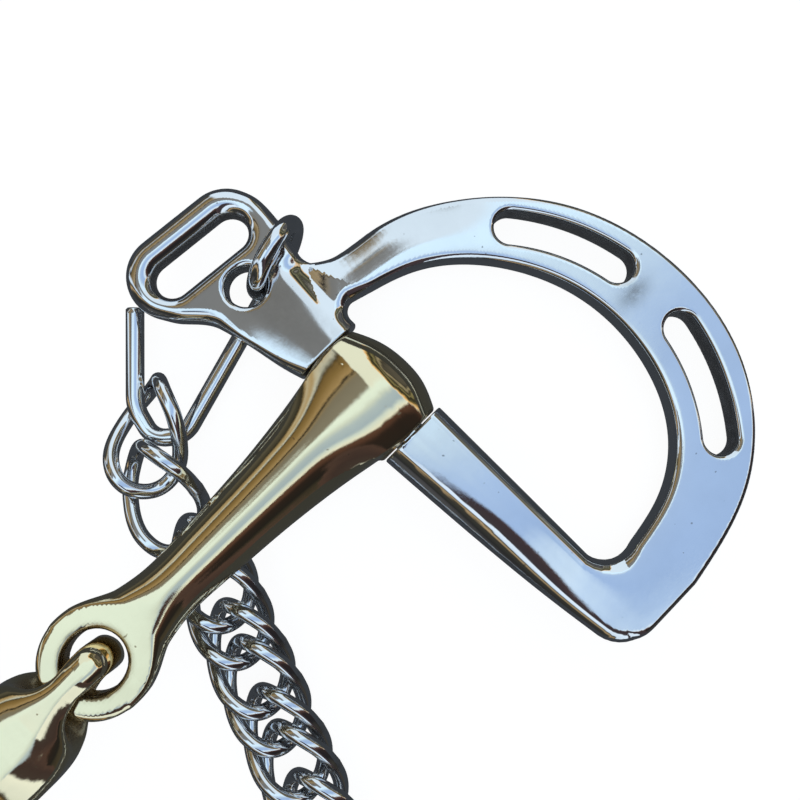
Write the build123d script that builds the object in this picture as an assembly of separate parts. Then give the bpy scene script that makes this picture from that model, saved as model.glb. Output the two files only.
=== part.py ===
from build123d import *
import os
from math import asin, copysign, cos, degrees, pi, radians, sin, tan

# A slotted-D curb bit with a jointed brass mouthpiece, two curb hooks and a twisted
# double-link curb chain, laid down flat. All sizes are in millimetres.
# The frame: X runs along the mouthpiece, +Y towards the bridle loops, +Z up, and the origin
# is on the surface that the bit lies on, under the middle of the bit's box.

# ---- driving sizes ----------------------------------------------------------------------
MOUTH_WIDTH = 140.0        # between the two barrels' inner faces, the size a bit is sold by
BARREL_BELLY = 8.8         # greatest radius of the barrel that turns on the cheek
BARREL_TOP_R = 5.8         # barrel radius where it meets the shoulder
BARREL_LOW_R = 6.2         # barrel radius where it meets the lower bar
BARREL_TOP = 9.7           # barrel's upper end, along the bar from the mouthpiece's line
BARREL_LOW = -9.9          # barrel's lower end
SEAM = 0.2                 # gap between the barrel's end and the cheek
PIN_R = 3.0                # bar that the barrel turns on
RUNNING_GAP = 0.05         # radial clearance of the barrel on its bar
PIN_SEAT = 5.8             # how far the bar is let into the cheek at each end
PLATE = 6.0                # thickness of the slotted D
BAR_THICK = 9.2            # thickness of the lower bar and of the shoulder
LOOP_THICK = 6.0           # thickness of the bridle loop and neck
LOOP_LENGTH = 27.6         # outside of the bridle loop
LOOP_WIDTH = 15.2
LOOP_SLOT_LENGTH = 18.9    # slot in the bridle loop
LOOP_SLOT_WIDTH = 6.2
LOOP_CENTRE = (-3.4, 37.9, 0.0)
LOOP_TURN = -5.0           # the loop leans towards the D, degrees
HOOK_HOLE = (-1.7, 27.6, 0.0)
HOOK_HOLE_R = 3.5
REIN_BOW_CENTRE = (7.5, -22.0)
REIN_BOW_R = 39.3          # the rein slots follow this arc
REIN_SLOT_WIDTH = 5.9
PLATE_EDGE = 0.7           # edge rounding of the D
BAR_EDGE = 2.2             # of the lower bar
LOOP_EDGE = 2.0            # of the bridle loop
ARM_EYE_EDGE = 2.2         # and of the arm's eye
THROUGH = 40.0             # longer than any piece is thick, for holes cut right through
CHEEK_TILT = 6.2           # the D leans down on to the surface, degrees
ARM_TILT = 11.5            # each arm rises towards the middle, over the chain, degrees
ARM_EYE = 60.8             # from the barrel's axis to the arm's eye
EYE_OUTER_R = 9.2
EYE_HOLE_R = 5.0
EYE_THICK = 5.4
LINK_NECK = 3.6            # from the joint's centre in to the start of the centre link's eye
LINK_REACH = 11.7          # from the joint's centre out to the centre link's tip
LINK_THICK = 12.8          # height of the centre link's eyes
LINK_SLOT_LENGTH = 10.5
LINK_SLOT_HEIGHT = 8.0
HOOK_WIRE_R = 1.45
HOOK_EYE_R = 6.5           # centre line of the hook's closed eye
LINK_WIRE_R = 1.25         # wire of the curb chain
LINK_HALF_LENGTH = 10.2    # centre line of one chain ring, half its length
LINK_HALF_WIDTH = 6.85     # and half its width
LINK_TWIST = 62.0          # how far each end of a ring is twisted, degrees
LINK_SQUARENESS = 0.85     # 1 is an ellipse, less is fuller in the corners
PAIR_PITCH = 16.4          # one pair of rings to the next
PAIR_STAGGER = 7.0         # second ring of a pair behind the first

BAR_X = MOUTH_WIDTH / 2 + BARREL_BELLY
MOUTH_Y = 16.86            # the mouthpiece's line, from the middle of the whole bit's box
BAR_Z = BARREL_BELLY       # the barrels rest on the surface
JOINT_WALL = (EYE_OUTER_R + EYE_HOLE_R) / 2   # centre of the eye's wall, from the eye's centre
PIVOT_S = ARM_EYE + JOINT_WALL                # the joint's centre, along the arm
PIVOT_X = BAR_X - PIVOT_S * cos(radians(ARM_TILT))
PIVOT_Z = BAR_Z + PIVOT_S * sin(radians(ARM_TILT))

# Y is measured from the mouthpiece's line until the finished pieces are moved by MOUTH_Y.
# left-hand cheek's frame: origin on the bar, +X towards the D, the plate in the XY plane
CHEEK_FRAME = Pos(BAR_X, 0, BAR_Z) * Rot(0, CHEEK_TILT, 0)
# left-hand arm's frame: origin on the bar, -X towards the middle joint
ARM_FRAME = Pos(BAR_X, 0, BAR_Z) * Rot(0, ARM_TILT, 0)


def slab(face, thickness):
    """A flat face on the XY plane, thickened equally up and down."""
    return extrude(face, thickness / 2, both=True)


def soften(solid, edges, radius):
    """Round the edges, or leave them when the shape has no room for it."""
    try:
        return fillet(edges, radius)
    except ValueError:
        return solid


# ---- cheek ------------------------------------------------------------------------------
def d_opening():
    """The D's inside: straight along the bar, then one long bow, then a flat foot."""
    bow = Spline(
        (9.4, 13.4), (22.0, 9.3), (33.2, -1.5), (38.9, -16.0), (38.2, -30.0),
        (31.5, -42.6), (23.5, -47.8), (14.1, -49.8),
    )
    top = ThreePointArc((7.05, 11.0), (7.7, 12.7), (9.4, 13.4))
    bar = Line((7.05, 11.0), (7.05, -45.6))
    foot = ThreePointArc((7.05, -45.6), (9.2, -49.0), (14.1, -49.8))
    return make_face([bow, top, bar, foot])


def rein_slot(start, end):
    """A curved rein slot along the D's rim, between two angles of its bow."""
    rim = CenterArc(REIN_BOW_CENTRE, REIN_BOW_R, start, end - start)
    return SlotArc(rim, REIN_SLOT_WIDTH)


def d_plate():
    """The slotted D, from the crotch beside the bridle loop round to the lower corner."""
    bow = Spline(
        (8.2, 22.9), (12.6, 21.2), (21.6, 19.7), (34.5, 13.2), (47.6, -0.9), (53.5, -21.5),
        (49.4, -41.8), (35.0, -56.5), (16.2, -61.6),
    )
    foot = Line((16.2, -61.6), (2.0, -61.6))
    heel = Line((2.0, -61.6), (2.0, 12.0))
    neck = Line((2.0, 12.0), (8.2, 22.9))
    face = make_face([bow, foot, heel, neck])
    face -= d_opening()
    face -= rein_slot(39.4, 10.6)
    face -= rein_slot(-12.0, -41.0)
    plate = slab(face, PLATE)
    rim = plate.faces().filter_by(Axis.Z).edges()
    return soften(plate, rim, PLATE_EDGE)


def lower_bar():
    """The thick bar under the barrel, which tapers down to the rounded corner of the D."""
    top = BARREL_LOW - SEAM
    edge = Polyline((7.05, top), (-5.9, top), (-4.4, -30.5), (-2.5, -48.7), (-1.0, -59.0))
    corner = ThreePointArc((-1.0, -59.0), (-0.1, -61.0), (1.9, -61.6))
    foot = Polyline((1.9, -61.6), (11.5, -61.6), (7.05, -49.0), (7.05, top))
    bar = slab(make_face([edge, corner, foot]), BAR_THICK)
    shortest = 8.0
    flats = [e for e in bar.edges() if abs(abs(e.center().Z) - BAR_THICK / 2) < 0.01]
    long_edges = [e for e in flats if e.length > shortest and e.center().Y < top - 1]
    return soften(bar, long_edges, BAR_EDGE)


def bridle_loop():
    """The loop for the cheekpiece strap, over the hook hole."""
    slot_shift = -0.9
    slot = Pos(0, slot_shift) * SlotOverall(LOOP_SLOT_LENGTH, LOOP_SLOT_WIDTH)
    loop = slab(SlotOverall(LOOP_LENGTH, LOOP_WIDTH) - slot, LOOP_THICK)
    loop = soften(loop, loop.faces().filter_by(Axis.Z).edges(), LOOP_EDGE)
    return Pos(*LOOP_CENTRE) * Rot(0, 0, LOOP_TURN) * loop


def neck():
    """The waisted web from the shoulder up to the bridle loop."""
    base = BARREL_TOP + SEAM
    left = Spline((-5.9, base), (-7.7, 14.0), (-8.2, 20.0), (-10.9, 26.5), (-14.6, 32.0))
    across = Polyline((-14.6, 32.0), (-13.4, 33.6), (7.5, 33.6), (9.3, 31.5))
    right = Spline((9.3, 31.5), (9.1, 27.5), (8.0, 23.0))
    inner = Polyline((8.0, 23.0), (11.5, 18.0), (9.4, 13.3), (6.9, 12.2), (5.4, base), (-5.9, base))
    return slab(make_face([left, across, right, inner]), LOOP_THICK)


def across_bar(x, y):
    """The plane across the bar's line at a place in the cheek's frame."""
    return Plane(origin=(x, y, 0), x_dir=(1, 0, 0), z_dir=(0, 1, 0))


def shoulder():
    """The neck's thick foot, which closes on the barrel and thins upwards."""
    base = BARREL_TOP + SEAM
    low = across_bar(-0.25, base) * RectangleRounded(11.3, BAR_THICK, 3.5)
    mid = across_bar(-0.3, 15.0) * RectangleRounded(13.6, 8.4, 3.0)
    high = across_bar(-0.2, 22.5) * RectangleRounded(14.5, LOOP_THICK - 0.1, 2.0)
    return loft([low, mid, high])


def cheek():
    """One cheek: slotted D, lower bar, shoulder, neck and bridle loop, cast in one piece."""
    body = d_plate() + lower_bar() + bridle_loop() + neck() + shoulder()
    body -= Pos(*HOOK_HOLE) * Cylinder(HOOK_HOLE_R, THROUGH)
    barrel_middle = Pos(0, (BARREL_TOP + BARREL_LOW) / 2, 0)
    gap_length = BARREL_TOP - BARREL_LOW + 2 * SEAM
    gap_width = 20.0
    body -= barrel_middle * Box(gap_width, gap_length, THROUGH)
    return body - cheek_pin()


def cheek_pin():
    """The round bar pressed into the shoulder and the lower bar."""
    length = BARREL_TOP - BARREL_LOW + 2 * SEAM + 2 * PIN_SEAT
    return Pos(0, (BARREL_TOP + BARREL_LOW) / 2, 0) * Rot(90, 0, 0) * Cylinder(PIN_R, length)


# ---- mouthpiece -------------------------------------------------------------------------
def barrel():
    """The hollow barrel that turns on the cheek's bar, widest at the mouthpiece's line."""
    top_rim = (BARREL_TOP_R, BARREL_TOP)
    low_rim = (BARREL_LOW_R, BARREL_LOW)
    side = Spline(low_rim, (8.1, -5.6), (BARREL_BELLY - 0.1, -0.6), (7.8, 5.2), top_rim)
    edges = Polyline(top_rim, (0, BARREL_TOP), (0, BARREL_LOW), low_rim)
    return revolve(make_face([side, edges]), Axis.Y, 360)


def arm_section(distance, half_width, half_height):
    """An oval across the arm at a distance from the barrel's axis."""
    plane = Plane(origin=(-distance, 0, 0), x_dir=(0, 1, 0), z_dir=(-1, 0, 0))
    return plane * Ellipse(half_width, half_height)


def mouth_arm():
    """Barrel, tapering round arm and the eye at its end, cast in brass."""
    taper = loft([
        arm_section(1.0, 8.6, 7.9), arm_section(8.0, 8.5, 7.9), arm_section(16.0, 7.2, 7.1),
        arm_section(27.0, 6.2, 6.1), arm_section(38.0, 5.4, 5.3), arm_section(47.0, 5.2, 4.8),
        arm_section(53.5, 6.4, 3.2),
    ])
    eye = Pos(-ARM_EYE, 0, 0) * Cylinder(EYE_OUTER_R, EYE_THICK)
    eye = soften(eye, eye.edges(), ARM_EYE_EDGE)
    body = barrel() + taper + eye
    body -= Pos(-ARM_EYE, 0, 0) * Cylinder(EYE_HOLE_R, THROUGH)
    return body - Rot(90, 0, 0) * Cylinder(PIN_R + RUNNING_GAP, THROUGH)


def centre_link():
    """The bean between the arms: a fat middle and an upright eye at each end."""
    neck_x = PIVOT_X - LINK_NECK
    tip_x = PIVOT_X + LINK_REACH
    top_view = Spline(
        (0, 9.0), (5.0, 8.5), (neck_x + 2.0, 5.6), (PIVOT_X + 2.0, 3.0), (tip_x - 3.4, 2.4),
        tangents=[(1, 0), (1, -0.05)],
    )
    tip = ThreePointArc((tip_x - 3.4, 2.4), (tip_x - 1.6, 1.9), (tip_x, 0))
    half = make_face([top_view, tip, Polyline((tip_x, 0), (0, 0), (0, 9.0))])
    plan = half + mirror(half, about=Plane.XZ)
    plan += mirror(plan, about=Plane.YZ)
    side = SlotOverall(2 * tip_x, LINK_THICK) + Ellipse(13.0, 7.3)
    bean = slab(plan, THROUGH) & Rot(90, 0, 0) * slab(side, THROUGH)
    slot = Rot(90, 0, 0) * slab(SlotOverall(LINK_SLOT_LENGTH, LINK_SLOT_HEIGHT), THROUGH)
    for end in (-1, 1):
        bean -= Pos(end * (neck_x + LINK_SLOT_LENGTH / 2), 0, 0) * slot
    return Pos(0, 0, PIVOT_Z) * bean


# ---- curb hook --------------------------------------------------------------------------
HOOK_EYE = (5.5, 28.2, 0.0)                   # centre of the hook's eye, in the cheek's frame
HOOK_EYE_SWEEP = 300.0                        # how far the wire goes round the eye, degrees
# the hook's wire after its eye: end of the long leg, round the bend and up to the open tip
HOOK_ROUTE = [(50.4, 18.4, 4.6), (46.0, 22.0, 4.9), (47.6, 28.3, 4.9), (60.2, 40.9, 4.9)]
HOOK_BENDS = [4.4, 3.9, 8.0]


def hook_eye_frame():
    """Centre of the eye, the level way from it to the leg's end, and the leg's upward slope."""
    centre = (CHEEK_FRAME * Pos(*HOOK_EYE)).position
    leg_end = Vector(*HOOK_ROUTE[0])
    level = Vector(leg_end.X - centre.X, leg_end.Y - centre.Y, 0)
    reach = (leg_end - centre).length
    slope = asin((leg_end.Z - centre.Z) / reach) + asin(HOOK_EYE_R / reach)
    return centre, level.normalized(), slope


def curb_hook():
    """Round wire: a bent eye through the cheek's hole, a long leg, a bend and an open tip."""
    centre, level, slope = hook_eye_frame()
    up = Vector(0, 0, 1)
    eye_plane = Plane(origin=centre, x_dir=-level, z_dir=(-level).cross(up))
    eye_end = -90 - degrees(slope)
    eye = eye_plane * CenterArc((0, 0), HOOK_EYE_R, eye_end + HOOK_EYE_SWEEP, -HOOK_EYE_SWEEP)
    leg_start = centre + (-level * cos(radians(eye_end)) + up * sin(radians(eye_end))) * HOOK_EYE_R
    leg = FilletPolyline(leg_start, *HOOK_ROUTE, radius=HOOK_BENDS)
    path = Wire([eye] + leg.edges())
    return sweep(Plane(origin=path @ 0, z_dir=path % 0) * Circle(HOOK_WIRE_R), path)


# ---- curb chain -------------------------------------------------------------------------
def ring_point(turn):
    """A point of a twisted ring's centre line, lying along X, for a turn from 0 to 1."""
    c = cos(2 * pi * turn)
    s = sin(2 * pi * turn)
    along = LINK_HALF_LENGTH * copysign(abs(c) ** LINK_SQUARENESS, c)
    across = LINK_HALF_WIDTH * copysign(abs(s) ** LINK_SQUARENESS, s)
    twist = -radians(LINK_TWIST) * along / LINK_HALF_LENGTH
    return Vector(along, across * cos(twist), across * sin(twist))


def chain_ring():
    """One twisted ring of the chain, as straight runs joined by large tangent arcs."""
    corners = 12
    points = [ring_point((i + 0.5) / corners) for i in range(corners)]
    radii = []
    for i in range(corners):
        back = points[i] - points[i - 1]
        ahead = points[(i + 1) % corners] - points[i]
        turn = radians(back.get_angle(ahead))
        radii.append(0.45 * min(back.length, ahead.length) / tan(turn / 2))
    path = FilletPolyline(*points, radius=radii, close=True)
    spans = path.edges()
    half = len(spans) // 2
    return wire_along(Wire(spans[:half])) + wire_along(Wire(spans[half:]))


def wire_along(path):
    """Round chain wire along an open path."""
    return sweep(Plane(origin=path @ 0, z_dir=path % 0) * Circle(LINK_WIRE_R), path)


def lay(ring, centre, heading, roll=0.0, pitch=0.0):
    """A ring laid with its middle at centre, its length along heading, in degrees from +X."""
    return Pos(*centre) * Rot(0, 0, heading) * Rot(0, pitch, 0) * Rot(roll, 0, 0) * ring


# the two single rings at each end: middle, heading, roll and pitch, in order along the chain
FIRST_END_RINGS = [
    ((46.4, 22.6, 6.8), 217.4, 16.1, -6.0),
    ((40.4, 12.95, 6.75), 242.0, 5.1, 14.3),
]
LAST_END_RINGS = [
    ((-48.7, -34.8, 5.8), 56.6, 11.9, 7.9),
    ((-39.1, -23.5, 5.7), 47.4, -10.8, -7.0),
]
PAIR_COUNT = 9
CHAIN_REST_Z = 4.75        # height of the chain's middle, laid flat
ROUTE_START = (36.5, -1.9)  # middle of the first paired ring
ROUTE_HEADING = 249.0      # out from under the arm, degrees from +X
ROUTE_STRAIGHT = 50.0      # length before the chain starts to curl round
ROUTE_RADIUS = 37.0


def route_place(distance):
    """Middle and heading of a ring at a distance along the laid-out chain."""
    x, y = ROUTE_START
    straight = min(distance, ROUTE_STRAIGHT)
    x += straight * cos(radians(ROUTE_HEADING))
    y += straight * sin(radians(ROUTE_HEADING))
    turned = (distance - straight) / ROUTE_RADIUS
    centre_way = radians(ROUTE_HEADING - 90)
    x += ROUTE_RADIUS * (cos(centre_way) - cos(centre_way - turned))
    y += ROUTE_RADIUS * (sin(centre_way) - sin(centre_way - turned))
    return (x, y, CHAIN_REST_Z), ROUTE_HEADING - turned * 180 / pi


def chain_parts():
    """Every ring of the curb chain, by node name."""
    ring = chain_ring()
    parts = {}
    for i, (centre, heading, roll, pitch) in enumerate(FIRST_END_RINGS):
        parts[f"chain_left_end_ring_{i + 1}"] = lay(ring, centre, heading, roll, pitch)
    for pair in range(PAIR_COUNT):
        for letter, stagger in (("a", 0.0), ("b", PAIR_STAGGER)):
            centre, heading = route_place(pair * PAIR_PITCH + stagger)
            parts[f"chain_pair_{pair + 1}_ring_{letter}"] = lay(ring, centre, heading)
    for i, (centre, heading, roll, pitch) in enumerate(LAST_END_RINGS):
        parts[f"chain_right_end_ring_{i + 1}"] = lay(ring, centre, heading, roll, pitch)
    return parts


def bit_parts():
    """Every piece of the bit, by node name."""
    left_cheek = CHEEK_FRAME * cheek()
    left_pin = CHEEK_FRAME * cheek_pin()
    left_arm = ARM_FRAME * mouth_arm()
    left_hook = curb_hook()
    parts = {
        "left_cheek": left_cheek,
        "left_cheek_pin": left_pin,
        "left_mouth_arm": left_arm,
        "left_curb_hook": left_hook,
        "centre_link": centre_link(),
        "right_mouth_arm": mirror(left_arm, about=Plane.YZ),
        "right_cheek": mirror(left_cheek, about=Plane.YZ),
        "right_cheek_pin": mirror(left_pin, about=Plane.YZ),
        "right_curb_hook": mirror(left_hook, about=Plane.YZ),
    }
    parts.update(chain_parts())
    return {name: Pos(0, MOUTH_Y, 0) * shape for name, shape in parts.items()}


if __name__ == "__main__":
    os.makedirs("parts", exist_ok=True)
    for name, shape in bit_parts().items():
        export_step(shape, f"parts/{name}.step")
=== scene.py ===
from math import asin, copysign, cos, degrees, pi, radians, sin, tan

import bpy
import numpy as np
from mathutils import Matrix, Vector


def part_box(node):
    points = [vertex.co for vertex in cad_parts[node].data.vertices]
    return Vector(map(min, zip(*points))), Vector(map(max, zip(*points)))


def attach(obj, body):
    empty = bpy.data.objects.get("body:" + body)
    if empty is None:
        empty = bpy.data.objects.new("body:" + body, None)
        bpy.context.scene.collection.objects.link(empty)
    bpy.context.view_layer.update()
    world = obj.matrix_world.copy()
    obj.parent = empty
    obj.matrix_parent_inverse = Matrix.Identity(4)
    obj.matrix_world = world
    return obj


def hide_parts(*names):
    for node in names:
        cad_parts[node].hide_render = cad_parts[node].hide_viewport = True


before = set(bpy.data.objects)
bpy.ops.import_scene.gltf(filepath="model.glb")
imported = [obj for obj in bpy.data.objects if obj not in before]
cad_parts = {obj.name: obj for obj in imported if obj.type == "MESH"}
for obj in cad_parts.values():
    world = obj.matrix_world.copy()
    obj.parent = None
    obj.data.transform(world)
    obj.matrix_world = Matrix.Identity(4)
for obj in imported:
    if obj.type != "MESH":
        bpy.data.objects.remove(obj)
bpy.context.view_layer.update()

# A curb bit laid down flat: slotted-D cheeks in polished steel, a jointed brass mouthpiece,
# two curb hooks and a twisted double-link curb chain. Every visible piece is a dense mesh
# that stands for its CAD node. Shapes are worked out in millimetres and built in metres.
MM = 0.001

# ---- places that the frame gives ----------------------------------------------------------
pin_low, pin_high = (Vector(v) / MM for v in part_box("left_cheek_pin"))
link_low, link_high = (Vector(v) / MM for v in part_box("centre_link"))
BAR_X = (pin_low.x + pin_high.x) / 2
BAR_Z = (pin_low.z + pin_high.z) / 2
MOUTH_Y = (link_low.y + link_high.y) / 2
PIVOT_Z = (link_low.z + link_high.z) / 2

# ---- driving sizes, in millimetres: the CAD model's, with slightly fuller wires -----------
BARREL_TOP = 9.7
BARREL_LOW = -9.9
BARREL_MIDDLE = (BARREL_TOP + BARREL_LOW) / 2
BARREL_REACH = (BARREL_TOP - BARREL_LOW) / 2
SEAM = 0.2                     # gap between a barrel and its cheek
PIN_R = 3.0
PIN_SEAT = 5.8
BORE_R = 3.05                  # bore of the barrel round the pin
PLATE_HALF = 3.0               # half thickness of the D and the loop
BAR_HALF = 4.6                 # and of the lower bar and the foot of the neck
CHEEK_TILT = 6.2
ARM_TILT = 11.5
ARM_EYE = 60.8
EYE_OUTER_R = 9.2
EYE_HOLE_R = 5.0
PIVOT_S = ARM_EYE + (EYE_OUTER_R + EYE_HOLE_R) / 2
PIVOT_X = BAR_X - PIVOT_S * cos(radians(ARM_TILT))
HOOK_WIRE_R = 1.62
HOOK_EYE_R = 6.5
HOOK_EYE = (5.5, 28.2, 0.0)     # in the cheek's own frame
HOOK_EYE_SWEEP = 300.0
HOOK_ROUTE = [(50.4, 18.4, 4.6), (46.0, 22.0, 4.9), (47.6, 28.3, 4.9), (60.2, 40.9, 4.9)]
HOOK_BENDS = [4.4, 3.9, 8.0]
LINK_WIRE_R = 1.38
LINK_HALF_LENGTH = 10.2
LINK_HALF_WIDTH = 6.68
LINK_TWIST = 55.0
LINK_SQUARENESS = 0.85
PAIR_COUNT = 9
PAIR_PITCH = 16.4
PAIR_STAGGER = 7.0
CHAIN_REST_Z = 4.75
ROUTE_START = (36.5, -1.9)
ROUTE_HEADING = 249.0
ROUTE_STRAIGHT = 50.0
ROUTE_RADIUS = 37.0
# the two single rings at each end of the chain: middle, heading, roll and pitch
FIRST_END_RINGS = [
    ((46.4, 22.6, 6.8), 217.4, 16.1, -6.0),
    ((40.4, 12.95, 6.75), 242.0, 5.1, 14.3),
]
LAST_END_RINGS = [
    ((-48.7, -34.8, 5.8), 56.6, 11.9, 7.9),
    ((-39.1, -23.5, 5.7), 47.4, -10.8, -7.0),
]

CHEEK_CELL = 0.4           # mesh size of the cheeks
BRASS_CELL = 0.5           # and of the mouthpiece

CHEEK_FRAME = Matrix.Translation((BAR_X, MOUTH_Y, BAR_Z)) @ Matrix.Rotation(radians(CHEEK_TILT), 4, "Y")
ARM_FRAME = Matrix.Translation((BAR_X, MOUTH_Y, BAR_Z)) @ Matrix.Rotation(radians(ARM_TILT), 4, "Y")
LINK_FRAME = Matrix.Translation((0, MOUTH_Y, PIVOT_Z))
MIRROR = Matrix.Diagonal((-1, 1, 1, 1))


# ---- curves -------------------------------------------------------------------------------
def cubic(knots, values):
    """A natural cubic through values at the knots, as a function; straight past the ends."""
    t = np.array(knots, float)
    p = np.array(values, float)
    h = np.diff(t)
    n = len(t)
    left = np.eye(n)
    right = np.zeros(p.shape)
    for i in range(1, n - 1):
        left[i, i - 1:i + 2] = h[i - 1], 2 * (h[i - 1] + h[i]), h[i]
        right[i] = 6 * ((p[i + 1] - p[i]) / h[i] - (p[i] - p[i - 1]) / h[i - 1])
    bend = np.linalg.solve(left, right)

    def value(s):
        s = np.clip(s, t[0], t[-1])
        k = np.clip(np.searchsorted(t, s, side="right") - 1, 0, n - 2)
        u = s - t[k]
        w = h[k] - u
        g = h[k]
        if p.ndim > 1:
            u, w, g = u[:, None], w[:, None], g[:, None]
        return (bend[k] * w ** 3 + bend[k + 1] * u ** 3) / (6 * g) + (
            (p[k] / g - bend[k] * g / 6) * w + (p[k + 1] / g - bend[k + 1] * g / 6) * u
        )

    return value


def spline(points, step=1.0):
    """Points along a natural cubic through the given points."""
    p = np.array(points, float)
    t = np.concatenate([[0], np.cumsum(np.linalg.norm(np.diff(p, axis=0), axis=1))])
    return cubic(t, p)(np.linspace(0, t[-1], int(t[-1] / step) + 2))


def arc(start, middle, end, steps=8):
    """Points along the arc through three points of the plane."""
    a, b, c = (complex(*p) for p in (start, middle, end))
    w = (c - a) / (b - a)
    centre = (b - a) * (w - abs(w) ** 2) / (2j * w.imag) + a
    turn = np.angle((c - centre) / (a - centre))
    if np.angle((b - centre) / (a - centre)) * turn < 0:
        turn -= copysign(2 * pi, turn)
    z = centre + (a - centre) * np.exp(1j * turn * np.linspace(0, 1, steps + 1))
    return np.column_stack([z.real, z.imag])


def outline(*runs):
    """One closed outline from several runs of points, without repeated points."""
    points = np.concatenate([np.array(run, float).reshape(-1, 2) for run in runs])
    keep = np.linalg.norm(points - np.roll(points, 1, axis=0), axis=1) > 1e-6
    return points[keep]


# ---- distances, negative inside -----------------------------------------------------------
def outline_distance(x, y, corners):
    """Signed distance from a closed outline of the plane."""
    shape = np.broadcast(x, y).shape
    px = np.broadcast_to(x, shape)
    py = np.broadcast_to(y, shape)
    best = np.full(shape, 1e12)
    inside = np.zeros(shape, bool)
    for (ax, ay), (bx, by) in zip(corners, np.roll(corners, -1, axis=0)):
        ex, ey = bx - ax, by - ay
        wx, wy = px - ax, py - ay
        t = np.clip((wx * ex + wy * ey) / (ex * ex + ey * ey), 0, 1)
        best = np.minimum(best, (wx - ex * t) ** 2 + (wy - ey * t) ** 2)
        if ay != by:
            inside ^= ((ay > py) != (by > py)) & (wx < ex * wy / ey)
    return np.where(inside, -1.0, 1.0) * np.sqrt(best)


def stadium_distance(x, y, half_length, radius):
    """Signed distance from a slot shape along X: two half circles joined by straight sides."""
    reach = half_length - radius
    return np.hypot(x - np.clip(x, -reach, reach), y) - radius


def arc_slot_distance(x, y, centre, bow_radius, start, end, half_width):
    """Signed distance from a curved slot that follows an arc between two angles."""
    dx, dy = x - centre[0], y - centre[1]
    angle = np.clip(np.arctan2(dy, dx), radians(start), radians(end))
    return np.hypot(dx - bow_radius * np.cos(angle), dy - bow_radius * np.sin(angle)) - half_width


def cut_round(a, b, r):
    """Where both solids are, with a rounded outer edge of radius r."""
    return np.minimum(np.maximum(a, b), -r) + np.hypot(np.maximum(a + r, 0), np.maximum(b + r, 0))


def join_round(a, b, r):
    """Where either solid is, with a rounded inner corner of radius r."""
    return np.maximum(np.minimum(a, b), r) - np.hypot(np.maximum(r - a, 0), np.maximum(r - b, 0))


def ease(value, start, end):
    """0 at start and 1 at end, smooth between."""
    t = np.clip((value - start) / (end - start), 0, 1)
    return t * t * t * (t * (6 * t - 15) + 10)


# ---- cheek --------------------------------------------------------------------------------
D_BOW = spline([
    (8.2, 22.9), (12.6, 21.2), (21.6, 19.7), (34.5, 13.2), (47.6, -0.9), (53.5, -21.5),
    (49.4, -41.8), (35.0, -56.5), (16.2, -61.6),
])
BAR_TOP = BARREL_LOW - SEAM
BAR_EDGE = spline([(-1.4, -56.4), (-2.5, -48.7), (-4.4, -30.5), (-5.9, BAR_TOP)], 2.0)
BAR_LEFT = cubic([-61.6, -48.7, -30.5, BAR_TOP], [-1.0, -2.5, -4.4, -5.9])
D_OUTLINE = outline(
    D_BOW, arc((5.6, -61.6), (0.9, -60.2), (-1.4, -56.4)), BAR_EDGE,
    (-5.9, -5.0), (2.0, -5.0), (2.0, 12.0),
)
D_OPENING = outline(
    spline([(9.4, 13.4), (22.0, 9.3), (33.2, -1.5), (38.9, -16.0), (38.2, -30.0), (31.5, -42.6),
            (23.5, -47.8), (14.1, -49.8)]),
    arc((14.1, -49.8), (9.2, -49.0), (7.05, -45.6)),
    arc((7.05, 11.0), (7.7, 12.7), (9.4, 13.4)),
)
NECK_FOOT = BARREL_TOP + SEAM
NECK_OUTLINE = outline(
    spline([(-5.9, NECK_FOOT), (-7.1, 14.0), (-8.3, 20.0), (-9.9, 26.0), (-11.8, 32.0)]),
    (-9.0, 36.0), (7.5, 36.0), spline([(9.3, 31.5), (9.1, 27.5), (8.0, 23.0)]),
    (11.5, 18.0), (8.0, 12.8), (6.3, NECK_FOOT), (5.8, 4.0), (-5.8, 4.0),
)
LOOP_CENTRE = (-3.4, 37.9)
LOOP_TURN = radians(-5.0)
HOOK_HOLE = (-1.7, 27.6)
HOOK_HOLE_R = 3.5
REIN_BOW = ((7.5, -22.0), 39.3)
REIN_SLOTS = [(10.6, 39.4), (-41.0, -12.0)]
REIN_HALF_WIDTH = 2.95
REIN_RIM = 1.0
LOOP_HALF_LENGTH = 13.75
LOOP_HALF_WIDTH = 7.55
LOOP_SLOT = (9.45, 3.1)    # half length and half width
LOOP_SLOT_SHIFT = 0.9      # the slot sits nearer the loop's lower edge
LOOP_RIM = 2.6
HOOK_HOLE_RIM = 1.1
BAR_CAMBER = 0.0325        # fall of the lower bar's face, per square millimetre from 8 mm in
BAR_CAMBER_WIDTH = 8.0
D_CAMBER = 0.035           # the same for the D's arm, from 7 mm in
D_CAMBER_WIDTH = 7.0
OPENING_DISH = 0.3         # how far the face sinks at the D's opening, and over what distance
OPENING_DISH_WIDTH = 2.0
SEAM_EDGE = 0.35           # edge radius where the cheek meets the barrel
CLEAR = 10.0               # safely past the cheek's thickness and the bar's width


def loop_axes(x, y):
    """Coordinates along and across the bridle loop."""
    dx, dy = x - LOOP_CENTRE[0], y - LOOP_CENTRE[1]
    return dx * cos(LOOP_TURN) + dy * sin(LOOP_TURN), dy * cos(LOOP_TURN) - dx * sin(LOOP_TURN)


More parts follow.
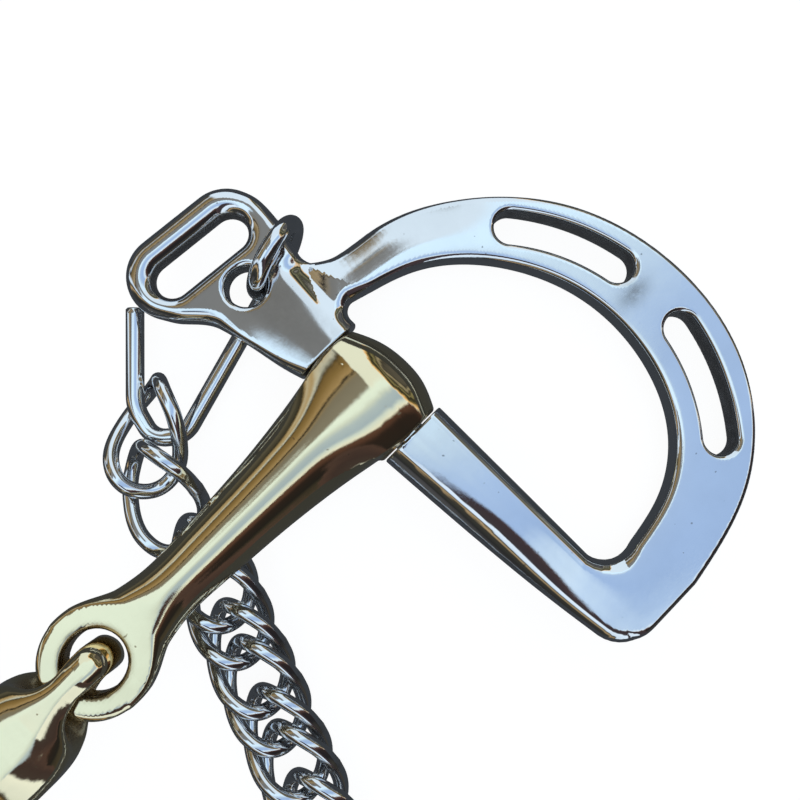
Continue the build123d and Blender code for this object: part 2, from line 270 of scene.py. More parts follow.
def cheek_openings(x, y):
    """Each opening through the cheek: distance from it and the radius of its rim."""
    along, across = loop_axes(x, y)
    openings = [
        (outline_distance(x, y, D_OPENING), 1.3 + 1.2 * ease(x, 15.0, 8.0)),
        (stadium_distance(along, across + LOOP_SLOT_SHIFT, *LOOP_SLOT), LOOP_RIM),
        (np.hypot(x - HOOK_HOLE[0], y - HOOK_HOLE[1]) - HOOK_HOLE_R, HOOK_HOLE_RIM),
    ]
    for start, end in REIN_SLOTS:
        openings.append((arc_slot_distance(x, y, *REIN_BOW, start, end, REIN_HALF_WIDTH), REIN_RIM))
    return openings


def cheek_field(x, y, z):
    """The whole cheek as one cast slab whose thickness and edge rounding vary over its plan."""
    along, across = loop_axes(x, y)
    d_plan = outline_distance(x, y, D_OUTLINE)
    plan = join_round(
        join_round(d_plan, outline_distance(x, y, NECK_OUTLINE), 3.0),
        stadium_distance(along, across, LOOP_HALF_LENGTH, LOOP_HALF_WIDTH), 5.0,
    )
    openings = cheek_openings(x, y)
    lower_bar = ease(x, 11.0, 4.0) * ease(y, -60.0, -22.0) * ease(y, 5.0, -5.0)
    neck_crown = 1 / (1 + (np.abs(x + 0.2) / 6.2) ** 3)
    foot_of_neck = neck_crown * np.clip((26.0 - y) / 16.0, 0, 1.1) * ease(y, -5.0, 5.0)
    half = PLATE_HALF + (BAR_HALF - PLATE_HALF) * (lower_bar + foot_of_neck)
    # the lower bar's face rolls away to its outer edge, and the D's arm to the outside of its bow
    from_edge = x - BAR_LEFT(y)
    bar_share = ease(y, -8.0, -11.0) * (0.45 + 0.55 * lower_bar)
    half = half - BAR_CAMBER * np.maximum(0, BAR_CAMBER_WIDTH - from_edge) ** 2 * bar_share
    from_bow = np.maximum(-d_plan, 0)
    d_arm = ease(x, 42.0, 16.0) * ease(y, 2.0, 12.0) * ease(x, 3.0, 9.0) * ease(y, 27.0, 23.0)
    half = half - D_CAMBER * np.maximum(0, D_CAMBER_WIDTH - from_bow) ** 2 * d_arm
    half = half - OPENING_DISH * np.exp(-np.maximum(openings[0][0], 0) / OPENING_DISH_WIDTH)
    outer_roll = 1.0 + 0.5 * d_arm + 1.8 * ease(y, 20.0, 30.0)
    bar_roll = 2.3 * ease(x, 7.0, -1.0) * ease(y, 0.0, -8.0)
    roll = np.minimum(outer_roll + bar_roll + 1.6 * foot_of_neck, 0.92 * half)
    body = cut_round(plan, np.abs(z) - half, roll)
    for hole, rim in openings:
        body = cut_round(body, -hole, rim)
    gap_end = np.abs(y - BARREL_MIDDLE) - BARREL_REACH - SEAM
    gap = np.maximum(np.maximum(np.abs(x) - CLEAR, gap_end), np.abs(z) - CLEAR)
    body = cut_round(body, -gap, SEAM_EDGE)
    seat = np.maximum(np.hypot(x, z) - PIN_R, gap_end - PIN_SEAT)
    return np.maximum(body, -seat)


def cheek_satin_and_painted_shade(x, y, z):
    """Satin finish and painted shade on slot and hole walls, a scuff between the rein slots and a brushed
    neck, 0 to 1.
    """
    # painted shade: the walls of the loop slot, hook hole and rein slots are darkened away from both
    # faces, where shade falls in the openings, and also made rougher
    wall = np.zeros(np.broadcast(x, y, z).shape)
    for hole, rim in cheek_openings(x, y)[1:]:
        wall = np.maximum(wall, ease(hole, 0.35 * rim, 0.0))
    wall = wall * ease(np.abs(z), PLATE_HALF - 0.5, PLATE_HALF - 1.4)
    scuff = 0.9 * np.exp(-((x - 44.5) / 3.2) ** 2 - ((y + 20.0) / 1.8) ** 2) * ease(z, 2.0, 2.6)
    neck = 0.22 * ease(np.abs(x), 5.5, 3.0) * ease(y, 8.0, 11.0) * ease(y, 30.0, 22.0)
    return np.clip(wall + scuff + neck, 0, 1)


# ---- mouthpiece ---------------------------------------------------------------------------
BARREL_BELLY = 8.7
BARREL_RADIUS = cubic([BARREL_LOW, -5.6, -0.6, 5.2, BARREL_TOP], [6.2, 8.1, BARREL_BELLY, 7.8, 5.8])
ARM_STATIONS = [0.5, 6.0, 11.0, 16.0, 27.0, 38.0, 47.0, 53.5, 58.0]
ARM_HALF_WIDTH = cubic(ARM_STATIONS, [9.78, 9.25, 8.4, 7.6, 6.3, 5.5, 5.3, 6.6, 7.9])
ARM_START = 0.75           # where the arm's flanks touch the barrel
BARREL_EDGE = 0.4
ARM_HALF_HEIGHT = cubic(ARM_STATIONS, [8.688, 8.247, 7.8, 7.2, 6.1, 5.3, 4.5, 3.3, 2.7])


def arm_field(x, y, z):
    """Barrel, tapering round arm and the eye at its end, cast in one."""
    s = -x
    barrel = cut_round(np.hypot(x, z) - BARREL_RADIUS(y), y - BARREL_TOP, BARREL_EDGE)
    barrel = cut_round(barrel, BARREL_LOW - y, BARREL_EDGE)
    a = ARM_HALF_WIDTH(s)
    b = ARM_HALF_HEIGHT(s)
    # at the barrel the arm carries on the barrel's own profile, which melts into an oval
    along_barrel = BARREL_MIDDLE + np.clip((y - BARREL_MIDDLE) / a, -1, 1) * BARREL_REACH
    swell = BARREL_RADIUS(along_barrel) * b / BARREL_BELLY
    swollen = cut_round(np.abs(z) - swell, np.abs(y - BARREL_MIDDLE) - a, 0.5)
    oval = np.hypot(y / a, z / b)
    oval = oval * (oval - 1) / (np.hypot(y / a ** 2, z / b ** 2) + 1e-6)
    melt = ease(s, 1.0, 18.0)
    taper = swollen * (1 - melt) + oval * melt
    # towards the eye the arm is a flat plate: the eye's round outline flaring into the arm
    eye_way = np.hypot(s - ARM_EYE, y)
    plan = join_round(np.maximum(np.abs(y) - a, s - ARM_EYE), eye_way - EYE_OUTER_R, 2.0)
    roll = np.minimum(1.3 + 3.2 * ease(s, 58.0, 47.0), 0.93 * b)
    plate = cut_round(plan, np.abs(z) - b, roll)
    flat = ease(s, 42.0, 52.0)
    arm = np.maximum(taper * (1 - flat) + plate * flat, ARM_START - s)
    body = join_round(barrel, arm, 0.3)
    body = cut_round(body, EYE_HOLE_R - eye_way, 0.9)
    return np.maximum(body, BORE_R - np.hypot(x, z))


def arm_tarnish(x, y, z):
    """1 deep in the eye and at the seams with the cheek, where the brass has darkened."""
    eye = ease(np.hypot(-x - ARM_EYE, y), EYE_HOLE_R + 1.6, EYE_HOLE_R)
    seam = ease(y, BARREL_TOP - 0.7, BARREL_TOP) + ease(y, BARREL_LOW + 0.7, BARREL_LOW)
    return np.clip(eye + seam * ease(-x, 12.0, 9.0), 0, 1)


LINK_NECK = PIVOT_X - 3.6
LINK_TIP = PIVOT_X + 11.7
LINK_PLAN = spline([
    (0, 9.0), (5.0, 8.5), (LINK_NECK + 2.0, 5.7), (PIVOT_X + 2.0, 3.5), (LINK_TIP - 3.4, 2.9),
], 0.6)
LINK_END = arc((LINK_TIP - 3.4, 2.9), (LINK_TIP - 1.0, 1.9), (LINK_TIP, 0))
LINK_QUARTER = np.concatenate([LINK_PLAN, LINK_END[1:]])
LINK_OUTLINE = outline(
    LINK_QUARTER, LINK_QUARTER[::-1] * (1, -1), LINK_QUARTER * (-1, -1), LINK_QUARTER[::-1] * (-1, 1)
)
LINK_SLOT = (5.25, 4.0)    # half length and half width
LINK_SLOT_RIM = 2.1
LINK_ROUNDING = cubic([0, 6.0, 11.0, 15.0, 30.0], [6.4, 5.6, 3.8, 2.7, 2.7])


def link_field(x, y, z):
    """The bean between the arms: a fat middle and an upright eye at each end."""
    side = stadium_distance(x, z, LINK_TIP, 6.4)
    belly = (np.hypot(x / 13.0, z / 7.3) - 1) * 7.3
    side = join_round(side, belly, 0.5)
    body = cut_round(outline_distance(np.abs(x), y, LINK_OUTLINE), side, LINK_ROUNDING(np.abs(x)))
    return cut_round(body, -link_slot(x, z), LINK_SLOT_RIM)


def link_slot(x, z):
    """Distance from the upright slot at either end."""
    return stadium_distance(np.abs(x) - (LINK_NECK + LINK_SLOT[0]), z, *LINK_SLOT)


def link_tarnish(x, y, z):
    """1 inside the link's eyes."""
    return ease(link_slot(x, z), 1.3, 0.0)


# ---- meshes -------------------------------------------------------------------------------
CORNERS = np.array([(i, j, k) for i in (0, 1) for j in (0, 1) for k in (0, 1)])
CELL_EDGES = [(a, b) for a in range(8) for b in range(a + 1, 8) if abs(CORNERS[a] - CORNERS[b]).sum() == 1]


def level_surface(field, low, high, cell):
    """Quads over the surface where the field is zero, each corner moved on to it."""
    axes = [np.arange(a - 2 * cell, b + 3 * cell, cell) for a, b in zip(low, high)]
    grid = field(axes[0][:, None, None], axes[1][None, :, None], axes[2][None, None, :])
    inside = grid < 0
    count = sum(inside[i:inside.shape[0] - 1 + i, j:inside.shape[1] - 1 + j, k:inside.shape[2] - 1 + k]
                .astype(np.int8) for i, j, k in CORNERS)
    cells = np.argwhere((count > 0) & (count < 8))
    number = np.full(count.shape, -1)
    number[tuple(cells.T)] = np.arange(len(cells))
    values = np.stack([grid[tuple((cells + c).T)] for c in CORNERS], axis=1)
    total = np.zeros((len(cells), 3))
    crossings = np.zeros(len(cells))
    for a, b in CELL_EDGES:
        crosses = (values[:, a] < 0) != (values[:, b] < 0)
        t = np.where(crosses, values[:, a] / np.where(crosses, values[:, a] - values[:, b], 1), 0)
        total += crosses[:, None] * (CORNERS[a] + t[:, None] * (CORNERS[b] - CORNERS[a]))
        crossings += crosses
    start = np.array([a[0] for a in axes])
    points = start + cell * (cells + total / crossings[:, None])
    faces = []
    for axis in range(3):
        u, v = (axis + 1) % 3, (axis + 2) % 3
        first = [slice(1, -1)] * 3
        first[axis] = slice(0, -1)
        second = list(first)
        second[axis] = slice(1, None)
        leaves = inside[tuple(first)] & ~inside[tuple(second)]
        enters = ~inside[tuple(first)] & inside[tuple(second)]
        for mask, turned in ((leaves, False), (enters, True)):
            at = np.argwhere(mask) + 1
            at[:, axis] -= 1
            ring = []
            for du, dv in ((-1, -1), (0, -1), (0, 0), (-1, 0)):
                around = at.copy()
                around[:, u] += du
                around[:, v] += dv
                ring.append(number[tuple(around.T)])
            quad = np.stack(ring, axis=1)
            faces.append(quad[:, ::-1] if turned else quad)
    normals = None
    for _ in range(3):
        value, slope = value_and_slope(field, points)
        steepness = np.maximum((slope ** 2).sum(axis=1), 0.2)
        move = -(value / steepness)[:, None] * slope
        far = np.linalg.norm(move, axis=1, keepdims=True)
        points = points + move * np.minimum(1, 0.4 * cell / np.maximum(far, 1e-9))
        normals = slope / np.linalg.norm(slope, axis=1, keepdims=True)
    return points, np.concatenate(faces), normals


def value_and_slope(field, points):
    """The field and its slope at each point."""
    reach = 0.03
    x, y, z = points.T
    slope = np.stack([
        field(x + reach, y, z) - field(x - reach, y, z),
        field(x, y + reach, z) - field(x, y - reach, z),
        field(x, y, z + reach) - field(x, y, z - reach),
    ], axis=1) / (2 * reach)
    return field(x, y, z), slope


def tube(path, radius, closed, around=20):
    """Quads round a path, with flat bevelled ends if it is open."""
    path = np.array(path, float)
    radius = np.broadcast_to(radius, len(path))
    if closed:
        along = np.roll(path, -1, axis=0) - np.roll(path, 1, axis=0)
        along /= np.linalg.norm(along, axis=1, keepdims=True)
        side = np.cross(along, (0, 0, 1.0))
        side /= np.linalg.norm(side, axis=1, keepdims=True)
    else:
        along = np.gradient(path, axis=0)
        along /= np.linalg.norm(along, axis=1, keepdims=True)
        side = np.zeros(path.shape)
        side[0] = np.cross(along[0], (0.3, 0.4, 0.87))
        for i in range(len(path)):
            if i:
                side[i] = side[i - 1]
            side[i] -= along[i] * (side[i] @ along[i])
            side[i] /= np.linalg.norm(side[i])
    other = np.cross(along, side)
    turn = np.linspace(0, 2 * pi, around, endpoint=False)
    ways = side[:, None] * np.cos(turn)[None, :, None] + other[:, None] * np.sin(turn)[None, :, None]
    points = (path[:, None] + ways * radius[:, None, None]).reshape(-1, 3)
    rows = len(path)
    faces = []
    for i in range(rows if closed else rows - 1):
        for j in range(around):
            k = (j + 1) % around
            n = (i + 1) % rows
            faces.append((i * around + j, i * around + k, n * around + k, n * around + j))
    caps = []
    if not closed:
        caps = [tuple(range(around))[::-1], tuple(range((rows - 1) * around, rows * around))]
    return points, faces, caps


def new_piece(name, points, faces, body, nodes, material, normals=None, layers=None):
    """A mesh object in metres that rides on a body and stands for CAD nodes."""
    mesh = bpy.data.meshes.new(name)
    mesh.from_pydata((np.asarray(points) * MM).tolist(), [], [tuple(map(int, f)) for f in faces])
    mesh.validate()
    mesh.polygons.foreach_set("use_smooth", [len(p.vertices) < 5 for p in mesh.polygons])
    for layer, values in (layers or {}).items():
        mesh.attributes.new(layer, "FLOAT", "POINT").data.foreach_set("value", values.astype(np.float32))
    if normals is not None:
        mesh.normals_split_custom_set_from_vertices(normals.tolist())
    mesh.materials.append(material)
    piece = bpy.data.objects.new(name, mesh)
    bpy.context.scene.collection.objects.link(piece)
    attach(piece, body)
    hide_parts(*nodes)
    return piece


def placed(points, normals, frame_matrix):
    """Points and normals carried from a piece's own frame into the shared frame."""
    m = np.array(frame_matrix)
    return points @ m[:3, :3].T + m[:3, 3], normals @ m[:3, :3].T


# ---- materials ----------------------------------------------------------------------------
class Graph:
    """A short way to write a material's or the world's nodes."""

    def __init__(self, tree):
        self.tree = tree
        tree.nodes.clear()

    def add(self, kind, inputs=None, **settings):
        node = self.tree.nodes.new(kind)
        for key, value in settings.items():
            setattr(node, key, value)
        for key, value in (inputs or {}).items():
            if isinstance(value, bpy.types.NodeSocket):
                self.tree.links.new(value, node.inputs[key])
            else:
                node.inputs[key].default_value = value
        return node

    def math(self, operation, a, b=0.0, clamp=False):
        return self.add("ShaderNodeMath", {0: a, 1: b}, operation=operation, use_clamp=clamp).outputs[0]

    def noise(self, where, scale, detail=2.0, roughness=0.5):
        inputs = {"Vector": where, "Scale": scale, "Detail": detail, "Roughness": roughness}
        return self.add("ShaderNodeTexNoise", inputs).outputs["Fac"]

    def spread(self, value, low, high, to_low=0.0, to_high=1.0):
        inputs = {"Value": value, "From Min": low, "From Max": high, "To Min": to_low, "To Max": to_high}
        return self.add("ShaderNodeMapRange", inputs, interpolation_type="SMOOTHSTEP").outputs[0]

    def halved(self, value):
        """-1 to 1 becomes 0 to 1."""
        return self.math("ADD", self.math("MULTIPLY", value, 0.5), 0.5)

    def mix(self, factor, a, b):
        node = self.add("ShaderNodeMix", data_type="RGBA")
        for socket, value in ((node.inputs[0], factor), (node.inputs[6], a), (node.inputs[7], b)):
            if isinstance(value, bpy.types.NodeSocket):
                self.tree.links.new(value, socket)
            else:
                socket.default_value = value
        return node.outputs[2]

    def ramp(self, value, stops):
        node = self.add("ShaderNodeValToRGB", {"Fac": value})
        elements = node.color_ramp.elements
        while len(elements) < len(stops):
            elements.new(0.5)
        for element, (position, colour) in zip(elements, stops):
            element.position = position
            element.color = (*colour, 1)
        return node.outputs["Color"]


def polished_metal(name, clean, stain_and_shade_colour, wear_and_shade_layer, rough, worn_rough, peel):
    """Hand-polished metal: faint waves, hairline scratches, pits, handling marks and stains, with painted
    shade where the steel's layer darkens the cheeks' slot and hole walls.
    """
    material = bpy.data.materials.new(name)
    material.use_nodes = True
    g = Graph(material.node_tree)
    where = g.add("ShaderNodeTexCoord").outputs["Object"]
    stretched = g.add("ShaderNodeMapping", {"Vector": where, "Rotation": (0, 0, 0.9), "Scale": (1, 9, 1)})
    wear_and_shade = g.add("ShaderNodeAttribute", attribute_name=wear_and_shade_layer).outputs["Fac"]
    clouds = g.noise(where, 55.0, 4.0, 0.6)
    patchy_wear_and_shade = g.math("MULTIPLY", wear_and_shade, g.spread(g.noise(where, 420.0, 4.0, 0.7), 0.25, 0.6, 0.45, 1.0))
    pits = g.spread(g.noise(where, 900.0, 1.0), 0.765, 0.80)
    smears = g.spread(g.noise(where, 95.0, 3.0, 0.7), 0.58, 0.78)
    hairlines = g.noise(stretched.outputs[0], 1400.0, 2.0, 0.6)
    dull = g.mix(g.spread(clouds, 0.35, 0.7), clean, tuple(0.93 * c for c in clean[:3]) + (1,))
    dull = g.mix(g.math("MULTIPLY", pits, 0.6), dull, stain_and_shade_colour)
    # the layer pulls the colour towards the dark colour: real stains, tarnish, scuffs and weld marks, and
    # painted shade on the cheeks' slot and hole walls
    colour = g.mix(g.math("MULTIPLY", patchy_wear_and_shade, 0.75), dull, stain_and_shade_colour)
    polish = g.math("ADD", g.math("MULTIPLY", smears, 0.05), g.math("MULTIPLY", hairlines, 0.035))
    polish = g.math("ADD", g.math("ADD", polish, rough - 0.015), g.math("MULTIPLY", pits, 0.2))
    roughness = g.math("ADD", polish, g.math("MULTIPLY", patchy_wear_and_shade, worn_rough), clamp=True)
    waves = g.add("ShaderNodeBump", {
        "Strength": peel, "Distance": 0.0004, "Height": g.noise(where, 110.0, 1.0),
    })
    ripples = g.add("ShaderNodeBump", {
        "Strength": 0.6 * peel, "Distance": 0.0001, "Height": g.noise(where, 480.0, 2.0),
        "Normal": waves.outputs[0],
    })
    grain = g.math("MULTIPLY", wear_and_shade, g.noise(where, 2200.0, 3.0, 0.7))
    fine = g.math("ADD", hairlines, g.math("MULTIPLY", grain, 5.0))
    lines = g.add("ShaderNodeBump", {
        "Strength": 0.05, "Distance": 0.00006, "Height": fine, "Normal": ripples.outputs[0],
    })
    shader = g.add("ShaderNodeBsdfPrincipled", {
        "Base Color": colour, "Metallic": 1.0, "Roughness": roughness, "Normal": lines.outputs[0],
    })
    g.add("ShaderNodeOutputMaterial", {"Surface": shader.outputs[0]})
    return material


# the steel's layer carries painted shade on the cheeks' slot and hole walls, besides real scuffs, brushing
# and weld marks
STEEL = polished_metal(
    "polished_steel", (0.80, 0.81, 0.82, 1), (0.16, 0.155, 0.15, 1), "satin_and_painted_shade", 0.035, 0.30, 0.10)
BRASS = polished_metal(
    "brass", (0.88, 0.76, 0.50, 1), (0.20, 0.12, 0.045, 1), "tarnish", 0.035, 0.25, 0.10)


# ---- pieces -------------------------------------------------------------------------------
def carved_pair(stem, field, low, high, cell, own_frame, bodies, material, layer, wear_and_shade_mask):
    """A left-hand piece from its field, and its right-hand mirror image."""
    points, faces, normals = level_surface(field, low, high, cell)
    layers = {layer: wear_and_shade_mask(*points.T)}
    at, facing = placed(points, normals, own_frame)
    new_piece(f"left_{stem}_polished", at, faces, bodies[0], [f"left_{stem}"], material,
              facing, layers)
    at, facing = placed(points, normals, MIRROR @ own_frame)
    new_piece(f"right_{stem}_polished", at, faces[:, ::-1], bodies[1], [f"right_{stem}"], material,
              facing, layers)


carved_pair("cheek", cheek_field, (-19, -62, -4.8), (54, 47, 4.8), CHEEK_CELL, CHEEK_FRAME,
            ("left_cheek", "right_cheek"), STEEL, "satin_and_painted_shade", cheek_satin_and_painted_shade)
carved_pair("mouth_arm", arm_field, (-71, -10, -9), (9, 10, 9), BRASS_CELL, ARM_FRAME,
            ("left_arm", "right_arm"), BRASS, "tarnish", arm_tarnish)

link_points, link_faces, link_normals = level_surface(link_field, (-25, -10, -8), (25, 10, 8), BRASS_CELL)
link_layers = {"tarnish": link_tarnish(*link_points.T)}
link_points, link_normals = placed(link_points, link_normals, LINK_FRAME)
new_piece("centre_link_polished", link_points, link_faces, "centre_link", ["centre_link"], BRASS,
          link_normals, link_layers)


def rounded_path(corners, radii, step=0.35):
    """Points along straight runs joined by arcs, one radius for each inner corner."""
    corners = [Vector(c) for c in corners]
    path = [corners[0]]
    for i, radius in enumerate(radii, start=1):
        back = (corners[i - 1] - corners[i]).normalized()
        ahead = (corners[i + 1] - corners[i]).normalized()
        half = back.angle(ahead) / 2
        cut = radius / tan(half)
        centre = corners[i] + (back + ahead).normalized() * radius / sin(half)
        start = corners[i] + back * cut
        spin = back.cross(ahead).normalized()
        bend = pi - 2 * half
        steps = max(3, int(bend * radius / step))
        for j in range(steps + 1):
            turned = Matrix.Rotation(-bend * j / steps, 3, spin) @ (start - centre)
            path.append(centre + turned)
    path.append(corners[-1])
    return path


def evenly(path, step):
    """The same path with no gap longer than a step."""
    points = [path[0]]
    for a, b in zip(path, path[1:]):
        parts = max(1, int((b - a).length / step + 0.999))
        points += [a + (b - a) * (k / parts) for k in range(1, parts + 1)]
    return points


def hook_path():
    """Centre line of the left-hand hook: its eye, long leg, bend and open tip."""
    centre = CHEEK_FRAME @ Vector(HOOK_EYE)
    route = [Vector(p) + Vector((0, MOUTH_Y, 0)) for p in HOOK_ROUTE]
    reach = route[0] - centre
    level = Vector((reach.x, reach.y, 0)).normalized()
    slope = asin(reach.z / reach.length) + asin(HOOK_EYE_R / reach.length)
    end = -90 - degrees(slope)
    eye = []
    steps = 110
    for i in range(steps + 1):
        turn = radians(end + HOOK_EYE_SWEEP * (1 - i / steps))
        eye.append(centre + (-level * cos(turn) + Vector((0, 0, 1)) * sin(turn)) * HOOK_EYE_R)
    return evenly(eye + rounded_path([eye[-1]] + route, HOOK_BENDS)[1:], 1.2)


def hook_wire(path):
    """The hook's path with a small bevel at both ends: points and the wire's radius at each."""
    bevel = 0.3
    ends = [path[0], path[0] + (path[1] - path[0]).normalized() * bevel]
    tips = [path[-1] + (path[-2] - path[-1]).normalized() * bevel, path[-1]]
    radii = [HOOK_WIRE_R - bevel, HOOK_WIRE_R] + [HOOK_WIRE_R] * (len(path) - 2)
    return ends + path[1:-1] + tips, radii + [HOOK_WIRE_R, HOOK_WIRE_R - bevel]


def curb_hooks():
    """Both curb hooks."""
    path, radii = hook_wire(hook_path())
    points, faces, caps = tube([tuple(p) for p in path], radii, False, 28)
    no_wear = {"satin_and_painted_shade": np.zeros(len(points))}
    for side, sign in (("left", 1), ("right", -1)):
        loops = faces + caps
        if sign < 0:
            loops = [f[::-1] for f in loops]
        name = f"{side}_curb_hook"
        new_piece(f"{name}_polished", points * (sign, 1, 1), loops, f"{side}_hook", [name], STEEL,
                  None, no_wear)


def ring_point(turn):
    """A point of a twisted ring's centre line, lying along X, for a turn from 0 to 1."""
    c = cos(2 * pi * turn)
    s = sin(2 * pi * turn)
    along = LINK_HALF_LENGTH * copysign(abs(c) ** LINK_SQUARENESS, c)
    across = LINK_HALF_WIDTH * copysign(abs(s) ** LINK_SQUARENESS, s)
    twist = -radians(LINK_TWIST) * along / LINK_HALF_LENGTH
    return np.array((along, across * cos(twist), across * sin(twist)))


def ring_wire():
    """One ring's smooth centre line and its wire radius, with the weld on one side."""
    corners = 12
    steps = 9
    controls = [ring_point((i + 0.5) / corners) for i in range(corners)]
    path = []
    for i, control in enumerate(controls):
        before = (controls[i - 1] + control) / 2
        after = (control + controls[(i + 1) % corners]) / 2
        for j in range(steps):
            t = j / steps
            path.append((1 - t) ** 2 * before + 2 * t * (1 - t) * control + t * t * after)
    path = np.array(path)
    weld = np.linalg.norm(path - ring_point(0.25) * (1, 0.97, 1), axis=1)
    bead = 0.045 * np.exp(-(weld / 0.7) ** 2)
    undercut = 0.03 * np.exp(-((weld - 1.3) / 0.4) ** 2)
    return path, LINK_WIRE_R * (1 + bead - undercut), weld


def laid(centre, heading, roll=0.0, pitch=0.0):
    """Where a ring lies: its middle, and its length along heading, in degrees from +X."""
    x, y, z = centre
    turned = Matrix.Rotation(radians(heading), 4, "Z") @ Matrix.Rotation(radians(pitch), 4, "Y")
    return Matrix.Translation((x, y + MOUTH_Y, z)) @ turned @ Matrix.Rotation(radians(roll), 4, "X")


def route_place(distance):
    """Middle and heading of a ring at a distance along the laid-out chain."""
    x, y = ROUTE_START
    straight = min(distance, ROUTE_STRAIGHT)
    x += straight * cos(radians(ROUTE_HEADING))
    y += straight * sin(radians(ROUTE_HEADING))
    turned = (distance - straight) / ROUTE_RADIUS
    centre_way = radians(ROUTE_HEADING - 90)
    x += ROUTE_RADIUS * (cos(centre_way) - cos(centre_way - turned))
    y += ROUTE_RADIUS * (sin(centre_way) - sin(centre_way - turned))
    return (x, y, CHAIN_REST_Z), ROUTE_HEADING - turned * 180 / pi


def chain_places():
    """Every ring: node name, body and place."""
    for i, place in enumerate(FIRST_END_RINGS):
        yield f"chain_left_end_ring_{i + 1}", f"chain_left_end_{i + 1}", laid(*place)
    for pair in range(PAIR_COUNT):
        for letter, stagger in (("a", 0.0), ("b", PAIR_STAGGER)):
            place = laid(*route_place(pair * PAIR_PITCH + stagger))
            yield f"chain_pair_{pair + 1}_ring_{letter}", f"chain_pair_{pair + 1}", place
    for i, place in enumerate(LAST_END_RINGS):
        yield f"chain_right_end_ring_{i + 1}", f"chain_right_end_{i + 1}", laid(*place)


def curb_chain():
    """All rings of the curb chain."""
    path, radius, weld = ring_wire()
    around = 20
    points, faces, _ = tube(path, radius, True, around)
    layers = {"satin_and_painted_shade": np.repeat(0.8 * np.exp(-(weld / 0.9) ** 2), around)}
    for name, body, place in chain_places():
        at, _ = placed(points, points, place)
        new_piece(f"{name}_polished", at, faces, body, [name], STEEL, None, layers)


curb_hooks()
curb_chain()
for pin in ("left_cheek_pin", "right_cheek_pin"):
    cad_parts[pin].data.materials.clear()
    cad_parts[pin].data.materials.append(STEEL)


# ---- floor, light and camera --------------------------------------------------------------
def floor():
    """A plain pale floor with a faint soft shadow; polished metal sees it darker than the eye does."""
    material = bpy.data.materials.new("pale_floor")
    material.use_nodes = True
    g = Graph(material.node_tree)
    path = g.add("ShaderNodeLightPath")
    white = g.add("ShaderNodeEmission", {"Color": (1, 1, 1, 1), "Strength": 0.93})
    soft = g.add("ShaderNodeBsdfDiffuse", {"Color": (0.18, 0.18, 0.18, 1)})
    seen = g.add("ShaderNodeAddShader", {0: white.outputs[0], 1: soft.outputs[0]})
    dark = g.add("ShaderNodeEmission", {"Color": (0.048, 0.054, 0.062, 1), "Strength": 1.0})
    mirrored = path.outputs["Is Glossy Ray"]
    both = g.add("ShaderNodeMixShader", {0: mirrored, 1: seen.outputs[0], 2: dark.outputs[0]})
    g.add("ShaderNodeOutputMaterial", {"Surface": both.outputs[0]})
    size = 3.0
    corners = [(-size, -size, 0), (size, -size, 0), (size, size, 0), (-size, size, 0)]
    mesh = bpy.data.meshes.new("floor")
    mesh.from_pydata(corners, [], [(0, 1, 2, 3)])
    mesh.materials.append(material)
    plane = bpy.data.objects.new("floor", mesh)
    bpy.context.scene.collection.objects.link(plane)


# what each direction shows, from -1 (0.0 here) to +1 (1.0 here)
Y_BANDS = [
    (0.00, (0.06, 0.055, 0.045)), (0.05, (0.02, 0.02, 0.022)), (0.15, (0.03, 0.022, 0.022)),
    (0.20, (0.11, 0.06, 0.05)), (0.225, (0.12, 0.07, 0.06)), (0.235, (0.95, 1.05, 1.1)),
    (0.29, (0.75, 0.95, 1.15)), (0.34, (0.42, 0.60, 0.92)), (0.45, (0.48, 0.66, 0.95)),
    (0.49, (0.70, 0.88, 1.02)), (0.52, (0.85, 1.10, 1.30)), (0.575, (0.88, 1.14, 1.34)),
    (0.59, (0.26, 0.27, 0.27)), (0.72, (0.22, 0.22, 0.21)), (0.755, (0.30, 0.25, 0.17)),
    (0.765, (0.03, 0.03, 0.03)), (0.78, (0.04, 0.035, 0.03)), (0.79, (0.42, 0.33, 0.20)),
    (0.85, (0.26, 0.19, 0.09)), (0.90, (0.18, 0.13, 0.06)), (0.915, (0.03, 0.03, 0.025)),
    (0.93, (0.65, 0.75, 0.85)), (0.95, (0.45, 0.36, 0.22)), (0.96, (0.03, 0.03, 0.025)),
    (1.00, (0.10, 0.10, 0.09)),
]
MINUS_X_BANDS = [
    (0.00, (0.10, 0.10, 0.10)), (0.03, (0.03, 0.03, 0.03)), (0.10, (0.05, 0.05, 0.04)),
    (0.13, (0.60, 0.42, 0.22)), (0.15, (0.10, 0.08, 0.05)), (0.17, (0.04, 0.04, 0.04)),
    (0.19, (0.80, 0.95, 1.1)), (0.29, (0.95, 1.1, 1.25)), (0.31, (0.06, 0.05, 0.055)),
    (0.38, (0.055, 0.04, 0.045)), (0.43, (0.09, 0.06, 0.06)), (1.00, (0.09, 0.06, 0.06)),
]
PLUS_X_BANDS = [
    (0.00, (0.5, 0.5, 0.5)), (0.90, (0.88, 1.1, 1.2)), (0.912, (0.95, 0.6, 0.28)),
    (0.922, (0.20, 0.18, 0.09)), (0.932, (0.05, 0.05, 0.035)), (0.946, (0.04, 0.04, 0.03)),
    (0.951, (0.30, 0.29, 0.17)), (0.960, (0.10, 0.10, 0.06)), (0.967, (0.03, 0.03, 0.03)),
    (0.979, (0.40, 0.38, 0.30)), (0.986, (0.05, 0.05, 0.05)), (1.00, (0.10, 0.10, 0.10)),
]


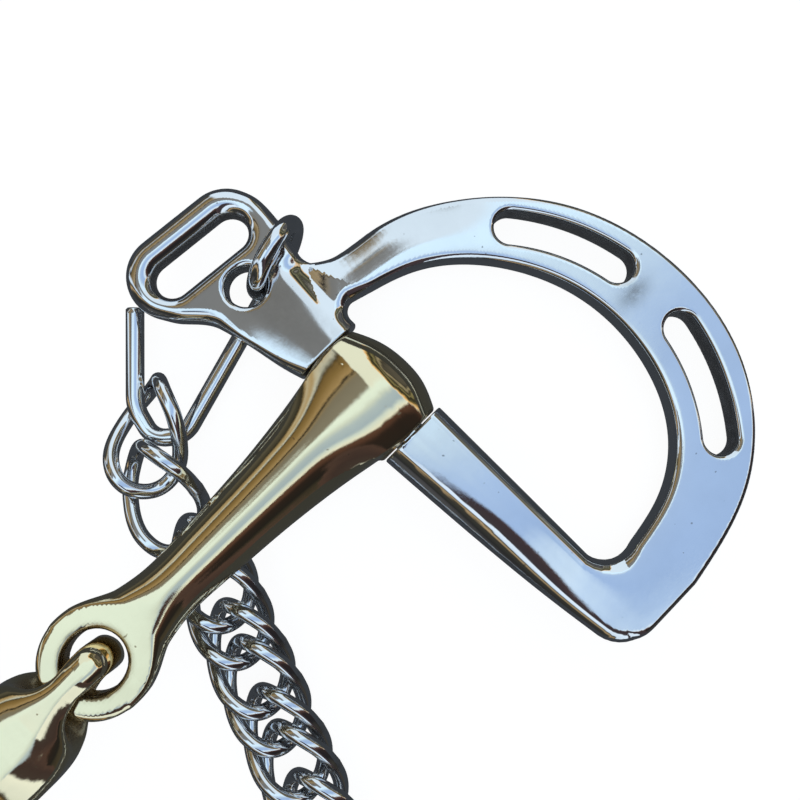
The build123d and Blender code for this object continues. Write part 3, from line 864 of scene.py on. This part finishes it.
def sky():
    """Soft light all round: pale overhead, with darker bands and bright cards lower down."""
    world = bpy.data.worlds.new("soft_light")
    world.use_nodes = True
    g = Graph(world.node_tree)
    way = g.add("ShaderNodeTexCoord").outputs["Generated"]
    wobble = g.add("ShaderNodeTexNoise", {"Vector": way, "Scale": 3.5, "Detail": 4.0}).outputs["Color"]
    small = g.add("ShaderNodeVectorMath", {0: wobble, 1: (0.5, 0.5, 0.5)}, operation="SUBTRACT").outputs[0]
    scaled = g.add("ShaderNodeVectorMath", {0: small, "Scale": 0.16}, operation="SCALE").outputs[0]
    bent = g.add("ShaderNodeVectorMath", {0: way, 1: scaled}, operation="ADD").outputs[0]
    parts = g.add("ShaderNodeSeparateXYZ", {0: bent})
    x, y = parts.outputs["X"], parts.outputs["Y"]
    by_y = g.ramp(g.halved(y), Y_BANDS)
    by_minus_x = g.ramp(g.halved(x), MINUS_X_BANDS)
    by_plus_x = g.ramp(g.halved(x), PLUS_X_BANDS)
    # a dark figure with a rounded corner, low on the -X -Y side
    left_of = g.math("SUBTRACT", -0.14, x)
    below = g.math("SUBTRACT", -0.08, y)
    corner = g.math("MULTIPLY", g.math("MAXIMUM", left_of, 0.0), g.math("MAXIMUM", below, 0.0))
    figure = g.spread(corner, 0.003, 0.006)
    left = g.math("MAXIMUM", figure, g.spread(x, -0.50, -0.58))
    right = g.spread(x, 0.79, 0.82)
    # a bright card on the +X +Y side and another nearly overhead
    window = g.math("MULTIPLY", g.spread(x, 0.31, 0.36), g.spread(y, 0.10, 0.16))
    by_y = g.mix(window, by_y, (0.85, 1.0, 1.12, 1))
    overhead = g.math("MULTIPLY", g.spread(y, 0.10, 0.13), g.spread(y, 0.33, 0.29))
    overhead = g.math("MULTIPLY", overhead, g.spread(x, 0.03, -0.03))
    by_y = g.mix(overhead, by_y, (0.88, 1.12, 1.32, 1))
    colour = g.mix(right, g.mix(left, by_y, by_minus_x), by_plus_x)
    seen = g.add("ShaderNodeLightPath").outputs["Is Camera Ray"]
    shown = g.mix(seen, colour, (0.97, 0.975, 0.98, 1))
    background = g.add("ShaderNodeBackground", {"Color": shown, "Strength": 1.0})
    g.add("ShaderNodeOutputWorld", {"Surface": background.outputs[0]})
    bpy.context.scene.world = world


CAMERA_PLACE = (86.026, 6.916, 152.108)


def camera():
    """Nearly straight above the left-hand cheek."""
    lens = bpy.data.cameras.new("camera")
    lens.sensor_width = 36.0
    lens.lens = 37.65
    lens.clip_start = 0.005
    eye = bpy.data.objects.new("camera", lens)
    right = Vector((0.70390, -0.70879, -0.04631))
    up = Vector((0.70976, 0.70441, 0.00702))
    back = Vector((0.02764, -0.03781, 0.99890))
    turn = Matrix((right, up, back)).transposed().to_4x4()
    eye.matrix_world = Matrix.Translation(Vector(CAMERA_PLACE) * MM) @ turn
    bpy.context.scene.collection.objects.link(eye)
    bpy.context.scene.camera = eye


floor()
sky()
camera()
bpy.context.scene.view_settings.view_transform = "Standard"

bpy.context.view_layer.update()
